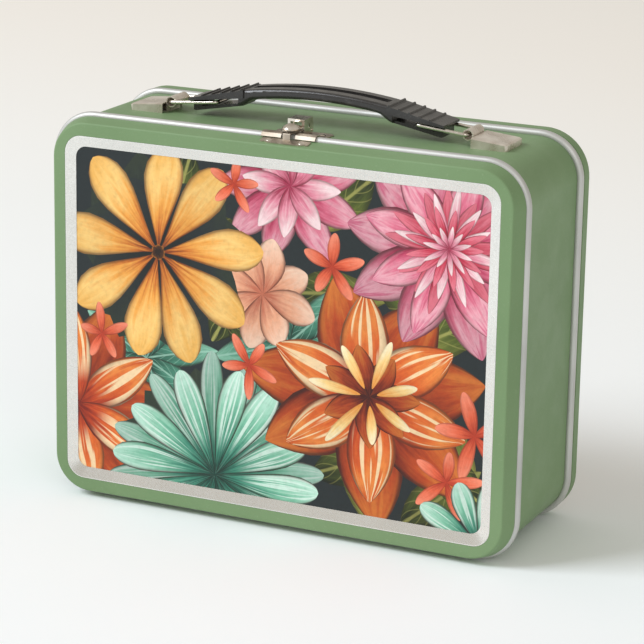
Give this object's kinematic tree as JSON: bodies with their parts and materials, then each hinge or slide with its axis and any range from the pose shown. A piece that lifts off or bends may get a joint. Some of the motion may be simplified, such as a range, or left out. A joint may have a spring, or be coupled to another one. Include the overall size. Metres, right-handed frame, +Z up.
{
  "type": "metal lunch box",
  "caption": "Rounded tinplate lunch box with a bottom-hinged lid, framed floral panels, a top latch and a plastic handle on sliding wire loops.",
  "frame": {"origin": "under the middle of the box, on the surface that its rolled rims stand on", "axes": "+X to the right along the long side, -Y out of the lid (front), +Z up through the handle"},
  "size_m": [0.2214, 0.079, 0.1866],
  "materials": {
    "green_enamel": "satin sage-green enamel on tinplate",
    "bare_tinplate": "bare bright tinplate, rolled edge",
    "satin_bezel": "satin white metal with a fine grain",
    "floral_print": "printed floral pattern under a satin varnish",
    "black_plastic": "semi-gloss moulded black plastic",
    "loop_wire": "nickel-plated drawn wire",
    "latch_nickel": "warm nickel plate",
    "bracket_nickel": "warm nickel-plated folded sheet"
  },
  "bodies": {
    "box": {"centre_band": "green_enamel", "front_rim_wire": "bare_tinplate", "front_rolled_rim": "bare_tinplate", "latch_base_plate": "latch_nickel", "latch_base_rivets": "latch_nickel", "latch_hinge_pin": "latch_nickel", "left_bracket_cover": "bracket_nickel", "left_bracket_rivets": "bracket_nickel", "left_knuckle_strap": "bracket_nickel", "lid_register_collar": "bare_tinplate", "rear_bezel": "satin_bezel", "rear_pan": "green_enamel", "rear_print_panel": "floral_print", "rear_rolled_rim": "bare_tinplate", "right_bracket_cover": "bracket_nickel", "right_bracket_rivets": "bracket_nickel", "right_knuckle_strap": "bracket_nickel"},
    "lid": {"front_lid": "green_enamel", "front_bezel": "satin_bezel", "front_print_panel": "floral_print", "left_hinge_leaf": "bare_tinplate", "right_hinge_leaf": "bare_tinplate", "lid_catch_plate": "latch_nickel", "lid_catch_rivets": "latch_nickel"},
    "hasp": {"latch_hasp": "latch_nickel", "latch_thumb_knob": "latch_nickel"},
    "handle": {"handle_grip": "black_plastic"},
    "left_bail": {"left_bail_loop": "loop_wire"},
    "right_bail": {"right_bail_loop": "loop_wire"}
  },
  "joints": [
    {"name": "lid_hinge", "type": "hinge", "parent": "box", "child": "lid", "pos_m": [0, -0.0306, 0.0018], "axis": [1, 0, 0], "range_deg": [0, 75]},
    {"name": "hasp_hinge", "type": "hinge", "parent": "box", "child": "hasp", "pos_m": [0.0026, -0.0178, 0.1724], "axis": [-1, 0, 0], "range_deg": [0, 90]},
    {"name": "handle_lift", "type": "slide", "parent": "box", "child": "handle", "axis": [0, 0, 1], "range_m": [0, 0.0148]},
    {"name": "left_bail_hinge", "type": "hinge", "parent": "box", "child": "left_bail", "pos_m": [-0.0669, 0, 0.17495], "axis": [0, -1, 0], "range_deg": [0, 38.8]},
    {"name": "right_bail_hinge", "type": "hinge", "parent": "box", "child": "right_bail", "pos_m": [0.0721, 0, 0.17495], "axis": [0, 1, 0], "range_deg": [0, 38.8]}
  ],
  "couplings": [
    {"joint": "left_bail_hinge", "follows": "handle_lift", "rad_per_m": 45.402},
    {"joint": "right_bail_hinge", "follows": "handle_lift", "rad_per_m": 45.402}
  ]
}
